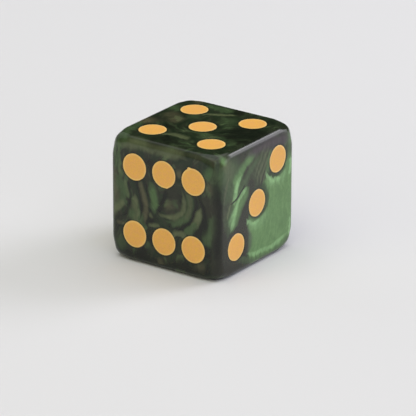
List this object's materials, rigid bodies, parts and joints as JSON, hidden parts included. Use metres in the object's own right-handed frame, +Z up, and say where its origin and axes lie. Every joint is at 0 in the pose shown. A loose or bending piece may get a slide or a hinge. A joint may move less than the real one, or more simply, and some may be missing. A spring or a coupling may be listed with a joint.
{
  "type": "six-sided gaming die",
  "caption": "Small cube die with lightly rounded edges, softer rounded corners, and round drilled pips filled almost flush with paint.",
  "frame": {"origin": "middle of the base, the face with the two, on the surface that the die stands on", "axes": "+Z up through the five, +X to the right through the three, -Y to the front through the six"},
  "size_m": [0.016, 0.016, 0.016],
  "materials": {
    "marbled_resin": "polished marbled resin, near-black green with lighter green and olive swirls",
    "gold_paint": "satin gold paint with a fine metallic speck"
  },
  "bodies": {
    "root": {"die_block": "marbled_resin", "pip_1_centre": "gold_paint", "pip_2_lower_left": "gold_paint", "pip_2_upper_right": "gold_paint", "pip_3_lower_left": "gold_paint", "pip_3_upper_right": "gold_paint", "pip_3_centre": "gold_paint", "pip_4_lower_left": "gold_paint", "pip_4_upper_right": "gold_paint", "pip_4_upper_left": "gold_paint", "pip_4_lower_right": "gold_paint", "pip_5_lower_left": "gold_paint", "pip_5_upper_right": "gold_paint", "pip_5_upper_left": "gold_paint", "pip_5_lower_right": "gold_paint", "pip_5_centre": "gold_paint", "pip_6_lower_left": "gold_paint", "pip_6_upper_right": "gold_paint", "pip_6_upper_left": "gold_paint", "pip_6_lower_right": "gold_paint", "pip_6_lower_centre": "gold_paint", "pip_6_upper_centre": "gold_paint"}
  },
  "joints": []
}
